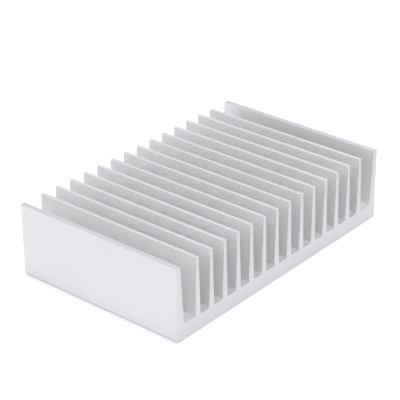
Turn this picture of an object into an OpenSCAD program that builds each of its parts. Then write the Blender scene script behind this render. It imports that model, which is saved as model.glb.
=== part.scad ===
// Extruded aluminium heat sink: one comb-shaped section, cut square to length.
// X runs across the fins, Y along the extrusion, Z up from the mounting face to the fin tips.
// The origin is the middle of the mounting face.

/* [Overall] */
// Width from the outer face of one outer fin to that of the other
width = 160; // [140:1:200]
// Cut length along the extrusion
length = 100; // [20:1:300]
// Height from the mounting face to the fin tips
height = 39.5; // [30:0.5:60]

/* [Base] */
// Thickness of the slab under the channels
base_thickness = 8.4; // [5:0.1:12]
// Radius along the two long bottom edges
bottom_edge_radius = 1.6; // [0.4:0.1:3]

/* [Ridged fins] */
// Number of ridged fins between the two outer ones, evenly spaced
fin_count = 14; // [6:1:15]
// Core thickness at the tip, measured between grooves
fin_tip = 1.4; // [1:0.1:2.4]
// Core thickness at the root, measured between grooves
fin_root = 3.4; // [2.5:0.1:4]
// Radius on both edges of a ridged fin's tip
fin_tip_radius = 0.2; // [0.1:0.05:0.8]

/* [Ridges] */
// Spacing of the fine V-shaped ridges up each flank
ridge_pitch = 0.92; // [0.8:0.02:2]
// Height of a ridge above the grooves beside it
ridge_height = 0.32; // [0.1:0.02:0.4]

/* [Outer fins] */
// Thickness of an outer fin at its tip
outer_tip = 2.9; // [2:0.1:4]
// Thickness of an outer fin at its root
outer_root = 4.85; // [4:0.05:6]
// Radius on both edges of an outer fin's tip
outer_tip_radius = 0.3; // [0.1:0.1:1.4]

/* [Channels] */
// Floor width of the two wide channels, next to the outer fins
outer_channel = 8.4; // [5:0.1:12]
// Radius where a fin meets the channel floor
root_fillet = 0.7; // [0.3:0.1:1.2]

/* [Hidden] */
$fn = 48;
fin_height = height - base_thickness;
fin_span = width - 2 * (outer_root + outer_channel) - fin_root;
fin_pitch = fin_span / (fin_count - 1);
// Angles by which the flanks lean from upright
fin_lean = atan((fin_root - fin_tip) / 2 / fin_height);
outer_lean = atan((outer_root - outer_tip) / fin_height);
// A tip keeps a narrow flat between its two radii
fin_crest_radius = min(fin_tip_radius, 0.45 * fin_tip);
outer_crest_radius = min(outer_tip_radius, 0.45 * outer_tip);
// Half the thickness of a tip, which is as wide as the ridges below it
tip_half = fin_tip / 2 + ridge_height;
// Flank left plain under the ridges, and kept for the half ridge that carries the tip
root_land = 1.2 * root_fillet;
tip_land = fin_crest_radius + ridge_pitch / 2;
ridge_count = floor((fin_height - root_land - tip_land) / ridge_pitch);
// Depth by which fins and fillets reach into the slab and into each other, so that they join
overlap = 0.5;
// Depth by which a fillet's arc dips into flank and floor, so that it crosses them and has clean ends
dip = 0.002;

// Half the core thickness of a ridged fin at height z above the channel floor
function fin_half(z) = (fin_root + (fin_tip - fin_root) * z / fin_height) / 2;

// Thickness of an outer fin at height z above the channel floor
function outer_thickness(z) = outer_root + (outer_tip - outer_root) * z / fin_height;

// The right flank of a ridged fin from its lowest groove to its highest, as [x, z] points
function ridges() =
    let (top = fin_height - tip_land)
    [for (k = [2 * ridge_count : -1 : 0])
        let (z = top - k * ridge_pitch / 2)
        [fin_half(z) + (k % 2) * ridge_height, z]];

// The same flank on the left, listed from its top down
function mirrored(points) = [for (k = [len(points) - 1 : -1 : 0]) [-points[k][0], points[k][1]]];

// The tip of a fin from x = left to x = right, flat between two edge radii
module crest(left, right, radius) {
    translate([left + radius, fin_height - radius])
        square([right - left - 2 * radius, radius]);
    for (x = [left + radius, right - radius])
        translate([x, fin_height - radius])
            circle(radius);
}

// A ridged fin, upright on the channel floor at x = 0
module ridged_fin() {
    shoulder = fin_height - fin_crest_radius;
    foot = [[fin_root / 2, -overlap], [fin_root / 2, 0]];
    flank = concat(foot, ridges(), [[tip_half, shoulder]]);
    polygon(concat(flank, mirrored(flank)));
    crest(-tip_half, tip_half, fin_crest_radius);
}

// A plain outer fin: its outer face is upright at x = 0 and its inner face leans
module outer_fin() {
    shoulder = fin_height - outer_crest_radius;
    polygon([[0, -overlap], [outer_root, -overlap], [outer_root, 0],
             [outer_thickness(shoulder), shoulder], [0, shoulder]]);
    crest(0, outer_thickness(shoulder), outer_crest_radius);
}

// The fillet right of a flank that leans by `lean` degrees and meets the floor at x = 0
module fillet(lean) {
    reach = root_fillet * (1 - sin(lean)) / cos(lean);
    contact = [reach - root_fillet * cos(lean), root_fillet * (1 - sin(lean))];
    difference() {
        polygon([[-overlap, -overlap], [reach, -overlap], [reach, root_fillet],
                 contact, [contact[0] - overlap, contact[1]]]);
        translate([reach, root_fillet])
            circle(root_fillet + dip);
    }
}

// The slab, with its two bottom edges rounded
module slab() {
    flat = width - 2 * bottom_edge_radius;
    translate([-flat / 2, 0])
        square([flat, base_thickness]);
    translate([-width / 2, bottom_edge_radius])
        square([width, base_thickness - bottom_edge_radius]);
    for (side = [-1, 1])
        translate([side * flat / 2, bottom_edge_radius])
            circle(bottom_edge_radius);
}

// The section, drawn with x across the fins and y up from the mounting face
module section() {
    slab();
    translate([0, base_thickness]) {
        for (k = [0 : fin_count - 1])
            translate([k * fin_pitch - fin_span / 2, 0]) {
                ridged_fin();
                for (side = [0, 1])
                    mirror([side, 0])
                        translate([fin_root / 2, 0])
                            fillet(fin_lean);
            }
        for (side = [0, 1])
            mirror([side, 0])
                translate([-width / 2, 0]) {
                    outer_fin();
                    translate([outer_root, 0])
                        fillet(outer_lean);
                }
    }
}

module heat_sink() {
    color([0.82, 0.82, 0.84])
        translate([0, length / 2, 0])
            rotate([90, 0, 0])
                linear_extrude(length)
                    section();
}

heat_sink();
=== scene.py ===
"""Looks of an extruded aluminium heat sink: its finish, and the studio that shows it."""
import math

import bpy
from mathutils import Matrix, Vector


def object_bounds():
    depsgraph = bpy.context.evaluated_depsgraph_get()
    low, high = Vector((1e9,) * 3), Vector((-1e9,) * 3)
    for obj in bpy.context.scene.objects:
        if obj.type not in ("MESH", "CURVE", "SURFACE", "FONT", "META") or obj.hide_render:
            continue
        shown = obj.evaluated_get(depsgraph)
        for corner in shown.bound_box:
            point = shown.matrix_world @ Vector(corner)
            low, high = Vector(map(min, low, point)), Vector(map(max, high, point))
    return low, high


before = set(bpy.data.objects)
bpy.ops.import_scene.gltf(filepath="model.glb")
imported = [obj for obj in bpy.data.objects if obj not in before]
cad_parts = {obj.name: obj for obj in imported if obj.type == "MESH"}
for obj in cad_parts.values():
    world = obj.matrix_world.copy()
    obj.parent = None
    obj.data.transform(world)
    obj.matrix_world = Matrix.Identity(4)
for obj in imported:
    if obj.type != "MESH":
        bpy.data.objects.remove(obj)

CAD_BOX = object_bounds()
LOW, HIGH = CAD_BOX
WIDTH = HIGH.x - LOW.x

# --- Node building ------------------------------------------------------------------------------


class Graph:
    """A material's node tree, with one short call for each kind of node."""

    def __init__(self, name):
        self.material = bpy.data.materials.new(name)
        self.material.use_nodes = True
        self.tree = self.material.node_tree
        self.tree.nodes.clear()

    def node(self, kind, inputs=None, **settings):
        """Adds a node, sets its properties, and links or sets its inputs by name or number."""
        made = self.tree.nodes.new(kind)
        for key, value in settings.items():
            setattr(made, key, value)
        for key, value in (inputs or {}).items():
            if isinstance(value, bpy.types.NodeSocket):
                self.tree.links.new(value, made.inputs[key])
            else:
                made.inputs[key].default_value = value
        return made

    def math(self, operation, a, b=0.0):
        return self.node("ShaderNodeMath", {0: a, 1: b}, operation=operation).outputs[0]

    def remap(self, value, low, high, new_low, new_high):
        """Value from low..high carried to new_low..new_high, and held inside it."""
        limits = {"Value": value, "From Min": low, "From Max": high, "To Min": new_low, "To Max": new_high}
        return self.node("ShaderNodeMapRange", limits, clamp=True).outputs["Result"]

    def mix(self, factor, a, b):
        """One number between two others."""
        return self.node("ShaderNodeMix", {0: factor, 2: a, 3: b}, data_type="FLOAT").outputs[0]

    def mix_colour(self, factor, a, b):
        return self.node("ShaderNodeMix", {0: factor, 6: a, 7: b}, data_type="RGBA").outputs[2]

    def scaled(self, vector, scale):
        return self.node("ShaderNodeMapping", {"Vector": vector, "Scale": scale}).outputs["Vector"]

    def noise(self, vector, scale, detail=2.0, roughness=0.5):
        """Noise about 0.5 over a vector that scale stretches, so that scale is in cycles a metre."""
        inputs = {"Vector": self.scaled(vector, scale), "Scale": 1.0}
        inputs.update({"Detail": detail, "Roughness": roughness})
        return self.node("ShaderNodeTexNoise", inputs).outputs["Fac"]

    def finish(self, shader):
        self.node("ShaderNodeOutputMaterial", {"Surface": shader})
        return self.material


# --- Finish of the metal ------------------------------------------------------------------------

BRIGHT = (0.90, 0.90, 0.895, 1.0)
DULL = (0.875, 0.875, 0.87, 1.0)
# Painted highlight: colour for ridge faces that face up and for the thin fins' crests
PAINTED_HIGHLIGHT = (0.98, 0.98, 0.975, 1.0)
# Painted shade: colour for ridge faces that face down
PAINTED_SHADE = (0.74, 0.74, 0.735, 1.0)
SAWN_BRIGHT = (0.885, 0.885, 0.885, 1.0)
SAWN_DULL = (0.82, 0.82, 0.82, 1.0)
# Distance from the middle that has all the thin fins inside it, and the two outer fins outside
THIN_FINS = WIDTH / 2 - 0.008
# Depth below a thin fin's crest that is painted lighter, a painted highlight
PAINTED_HIGHLIGHT_DEPTH = 0.0005
# Where the axis of the saw that cut both ends lay: across, and up from the mounting face
SAW_X = -0.06
SAW_Z = -0.21


def extruded_aluminium():
    """Satin metal: die lines along it, a painted highlight on the ridges' upper faces and the thin fins'
    crests, painted shade on the ridges' undersides, and sawn ends.
    """
    g = Graph("extruded_aluminium")
    coordinates = g.node("ShaderNodeTexCoord")
    place = coordinates.outputs["Object"]
    normal = g.node("ShaderNodeSeparateXYZ", {0: coordinates.outputs["Normal"]})
    cut_end = g.remap(g.math("ABSOLUTE", normal.outputs["Y"]), 0.6, 0.8, 0.0, 1.0)

    die_lines = g.noise(place, (2600.0, 9.0, 2600.0), detail=3.0, roughness=0.6)
    broad_lines = g.noise(place, (420.0, 2.5, 420.0), detail=2.0)
    cloud = g.noise(place, (38.0, 22.0, 38.0), detail=3.0)
    grain = g.noise(place, (5200.0, 5200.0, 5200.0), detail=1.0)

    axes = g.node("ShaderNodeSeparateXYZ", {0: place})
    blade_x = g.math("SUBTRACT", axes.outputs["X"], SAW_X)
    blade_z = g.math("SUBTRACT", axes.outputs["Z"], SAW_Z)
    squares = g.math("ADD", g.math("MULTIPLY", blade_x, blade_x), g.math("MULTIPLY", blade_z, blade_z))
    radius = g.math("SQRT", squares)
    rings = g.node("ShaderNodeCombineXYZ", {"X": radius, "Y": axes.outputs["Y"]}).outputs[0]
    saw_marks = g.noise(rings, (1500.0, 300.0, 1.0), detail=3.0, roughness=0.65)

    tone = g.math("ADD", g.math("MULTIPLY", broad_lines, 0.35), g.math("MULTIPLY", cloud, 0.65))
    skin = g.mix_colour(g.remap(tone, 0.35, 0.65, 0.0, 1.0), DULL, BRIGHT)
    # A ridge's two faces lean about 35 degrees out of the flank, one facing up and one facing down
    steep = g.remap(g.math("ABSOLUTE", normal.outputs["X"]), 0.5, 0.6, 0.0, 1.0)
    ridge_top = g.math("MULTIPLY", steep, g.remap(normal.outputs["Z"], 0.3, 0.5, 0.0, 1.0))
    ridge_underside = g.math("MULTIPLY", steep, g.remap(normal.outputs["Z"], -0.5, -0.3, 1.0, 0.0))
    thin = g.remap(g.math("ABSOLUTE", axes.outputs["X"]), THIN_FINS, THIN_FINS + 0.001, 1.0, 0.0)
    crest = g.remap(axes.outputs["Z"], HIGH.z - PAINTED_HIGHLIGHT_DEPTH, HIGH.z - PAINTED_HIGHLIGHT_DEPTH / 2, 0.0, 1.0)
    # Painted highlight: ridge faces that face up, and the thin fins' crests, are coloured lighter
    painted_highlight_mask = g.math("MAXIMUM", ridge_top, g.math("MULTIPLY", thin, crest))
    skin = g.mix_colour(painted_highlight_mask, skin, PAINTED_HIGHLIGHT)
    # Painted shade: ridge faces that face down are coloured darker
    skin = g.mix_colour(ridge_underside, skin, PAINTED_SHADE)
    speckle = g.math("ADD", g.math("MULTIPLY", saw_marks, 0.6), g.math("MULTIPLY", grain, 0.4))
    sawn = g.mix_colour(g.remap(speckle, 0.35, 0.65, 0.0, 1.0), SAWN_DULL, SAWN_BRIGHT)

    rough_skin = g.remap(die_lines, 0.3, 0.7, 0.36, 0.46)
    rough_sawn = g.remap(speckle, 0.3, 0.7, 0.42, 0.56)
    relief = g.mix(cut_end, g.math("MULTIPLY", die_lines, 0.6), speckle)
    bump = g.node("ShaderNodeBump", {"Strength": 0.35, "Distance": 0.00006, "Height": relief})

    shader = g.node("ShaderNodeBsdfPrincipled", {
        "Base Color": g.mix_colour(cut_end, skin, sawn),
        "Metallic": 0.5,
        "Roughness": g.mix(cut_end, rough_skin, rough_sawn),
        "Normal": bump.outputs[0],
    })
    return g.finish(shader.outputs[0])


def dress(node, material):
    """Gives every slot of a CAD node the one material."""
    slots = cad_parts[node].data.materials
    for k in range(len(slots)):
        slots[k] = material


dress("heat_sink", extruded_aluminium())

# --- Studio -------------------------------------------------------------------------------------

FLOOR_GREY = 0.90
# Light that the floor adds where the camera sees it, and where a mirror ray from the metal does
LIFT_FOR_CAMERA = 0.2
LIFT_FOR_MIRRORS = 0.06
# Distance from the middle of the floor to each of its edges
FLOOR_REACH = 6.0


def floor_material():
    """Pale matt floor, lifted to white for the camera alone and a little for the metal's mirror rays."""
    g = Graph("floor")
    rays = g.node("ShaderNodeLightPath")
    for_camera = g.math("MULTIPLY", rays.outputs["Is Camera Ray"], LIFT_FOR_CAMERA)
    for_mirrors = g.math("MULTIPLY", rays.outputs["Is Glossy Ray"], LIFT_FOR_MIRRORS)
    lift = g.node("ShaderNodeEmission", {"Color": (1.0, 1.0, 1.0, 1.0),
                                         "Strength": g.math("MAXIMUM", for_camera, for_mirrors)})
    matt = g.node("ShaderNodeBsdfDiffuse", {"Color": (FLOOR_GREY, FLOOR_GREY, FLOOR_GREY, 1.0)})
    return g.finish(g.node("ShaderNodeAddShader", {0: matt.outputs[0], 1: lift.outputs[0]}).outputs[0])


def make_floor():
    side = FLOOR_REACH
    mesh = bpy.data.meshes.new("floor")
    corners = [(-side, -side, LOW.z), (side, -side, LOW.z), (side, side, LOW.z), (-side, side, LOW.z)]
    mesh.from_pydata(corners, [], [(0, 1, 2, 3)])
    mesh.materials.append(floor_material())
    floor = bpy.data.objects.new("floor", mesh)
    bpy.context.collection.objects.link(floor)


LIGHT_TINT = (0.962, 0.952, 1.0)
WORLD_STRENGTH = 0.28
LAMP_AIM = Vector((0.0, 0.0, 0.02))
LAMP_SIZE = 0.7


def make_world():
    """Even, faintly cool surroundings."""
    world = bpy.data.worlds.new("studio")
    world.use_nodes = True
    background = world.node_tree.nodes["Background"]
    background.inputs["Color"].default_value = (*LIGHT_TINT, 1.0)
    background.inputs["Strength"].default_value = WORLD_STRENGTH
    bpy.context.scene.world = world


def round_lamp(name, place, power):
    """A disk of light at a place, facing the middle of the object."""
    lamp = bpy.data.lights.new(name, "AREA")
    lamp.shape = "DISK"
    lamp.size = LAMP_SIZE
    lamp.energy = power
    lamp.color = LIGHT_TINT
    holder = bpy.data.objects.new(name, lamp)
    holder.location = place
    holder.rotation_euler = (LAMP_AIM - Vector(place)).to_track_quat("-Z", "Y").to_euler()
    bpy.context.collection.objects.link(holder)


# The point the camera looks at, its heading from +Y towards +X, how far down it looks, its roll,
# and its distance from that point
CAMERA_AIM = Vector((0.0003, 0.0035, 0.0245))
CAMERA_HEADING = math.radians(49.75)
CAMERA_DROP = math.radians(27.69)
CAMERA_ROLL = math.radians(-0.54)
CAMERA_DISTANCE = 0.770
CAMERA_LENS = 136.0


def make_camera():
    level = math.cos(CAMERA_DROP)
    across = math.sin(CAMERA_HEADING) * level
    along = math.cos(CAMERA_HEADING) * level
    look = Vector((across, along, -math.sin(CAMERA_DROP)))
    data = bpy.data.cameras.new("camera")
    data.lens = CAMERA_LENS
    camera = bpy.data.objects.new("camera", data)
    roll = Matrix.Rotation(CAMERA_ROLL, 4, "Z")
    turn = look.to_track_quat("-Z", "Y").to_matrix().to_4x4() @ roll
    camera.matrix_world = Matrix.Translation(CAMERA_AIM - look * CAMERA_DISTANCE) @ turn
    bpy.context.collection.objects.link(camera)
    bpy.context.scene.camera = camera


make_floor()
make_world()
round_lamp("top", (0.0, 0.0, 1.0), power=5.7)
round_lamp("key", (-0.6, -0.6, 0.65), power=2.9)
round_lamp("fill", (1.0, 0.0, 0.5), power=3.8)
round_lamp("back", (-0.3, 1.0, 0.3), power=2.3)
round_lamp("side", (-1.0, 0.4, 0.35), power=0.9)
make_camera()
bpy.context.scene.view_settings.view_transform = "Standard"
# Light passes many times between the fins before it leaves a channel
bpy.context.scene.cycles.max_bounces = 16
bpy.context.scene.cycles.diffuse_bounces = 10
bpy.context.scene.cycles.glossy_bounces = 12
